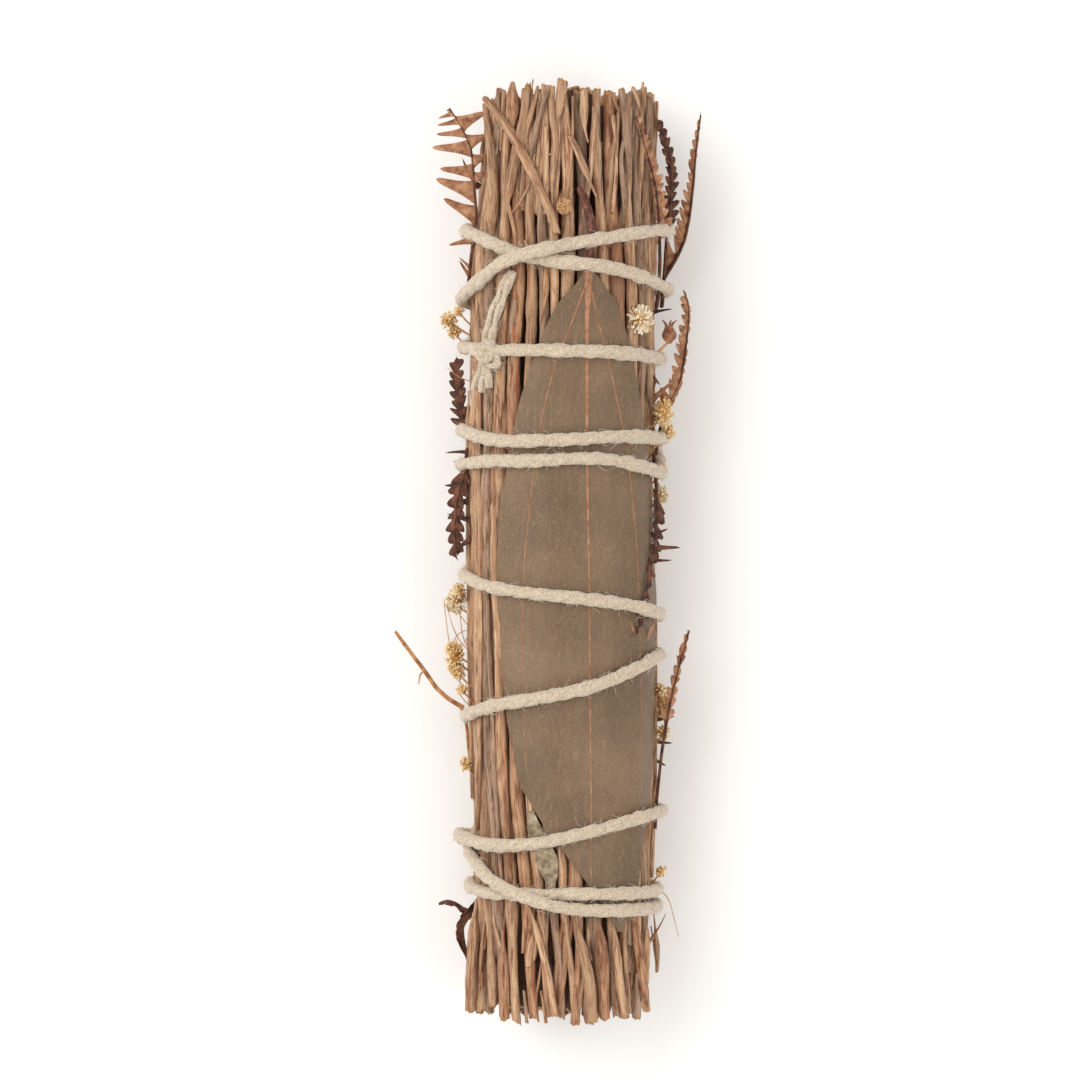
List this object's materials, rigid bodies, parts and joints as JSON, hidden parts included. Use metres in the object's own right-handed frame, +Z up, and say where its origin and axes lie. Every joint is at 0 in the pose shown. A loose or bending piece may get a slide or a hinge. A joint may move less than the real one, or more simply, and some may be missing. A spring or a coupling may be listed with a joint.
{
  "type": "smudge bundle",
  "caption": "Bundle of dried twigs with a bay leaf, fern bits and flower heads, wound and knotted with cotton string, lying flat.",
  "frame": {"origin": "middle of the bounding box's base, on the surface the bundle lies on", "axes": "+X across the bundle, towards the side with the tall fern; +Y along the stems, towards the ends with the ferns; +Z up, out of the side with the bay leaf"},
  "size_m": [0.0499, 0.1505, 0.0332],
  "materials": {
    "tan_bark": "matte",
    "grey_bark": "matte",
    "red_bark": "matte",
    "bay_leaf_olive": "matte",
    "grey_leaf": "matte",
    "fern_brown": "matte",
    "fern_dark": "matte",
    "flower_cream": "matte",
    "flower_straw": "matte",
    "sprig_tan": "matte",
    "cotton": "matte"
  },
  "bodies": {
    "root": {"back_stem_01": "grey_bark", "back_stem_02": "tan_bark", "back_stem_03": "red_bark", "back_stem_04": "tan_bark", "back_stem_05": "grey_bark", "back_stem_06": "tan_bark", "back_stem_07": "tan_bark", "back_stem_08": "grey_bark", "back_stem_09": "tan_bark", "back_stem_10": "red_bark", "bay_leaf": "bay_leaf_olive", "core_stem_01": "tan_bark", "core_stem_02": "grey_bark", "core_stem_03": "tan_bark", "core_stem_04": "tan_bark", "core_stem_05": "grey_bark", "core_stem_06": "tan_bark", "core_stem_07": "red_bark", "core_stem_08": "tan_bark", "core_stem_09": "grey_bark", "core_stem_10": "tan_bark", "cotton_string": "cotton", "dry_capsule": "fern_brown", "fern_bottom_left": "fern_dark", "fern_left_lower": "fern_dark", "fern_left_upper": "fern_dark", "fern_lower_right": "fern_brown", "fern_middle_right_arc": "fern_brown", "fern_over_leaf_edge": "fern_dark", "fern_top_left": "fern_brown", "fern_top_right_dark": "fern_dark", "fern_top_right_near": "fern_brown", "fern_top_right_tall": "fern_brown", "flower_head_1": "flower_straw", "flower_head_2": "flower_cream", "flower_head_3": "flower_straw", "flower_head_4": "flower_cream", "flower_head_5": "flower_cream", "flower_head_6": "flower_straw", "flower_head_7": "flower_straw", "front_stem_01": "tan_bark", "front_stem_02": "tan_bark", "front_stem_03": "grey_bark", "front_stem_04": "tan_bark", "front_stem_05": "red_bark", "front_stem_06": "tan_bark", "front_stem_07": "grey_bark", "front_stem_08": "tan_bark", "front_stem_09": "tan_bark", "front_stem_10": "grey_bark", "front_stem_11": "tan_bark", "front_stem_12": "red_bark", "front_stem_13": "tan_bark", "front_stem_14": "grey_bark", "front_stem_15": "tan_bark", "front_stem_16": "tan_bark", "grey_leaf": "grey_leaf", "side_sprig": "sprig_tan", "slanting_stem": "tan_bark"}
  },
  "joints": []
}
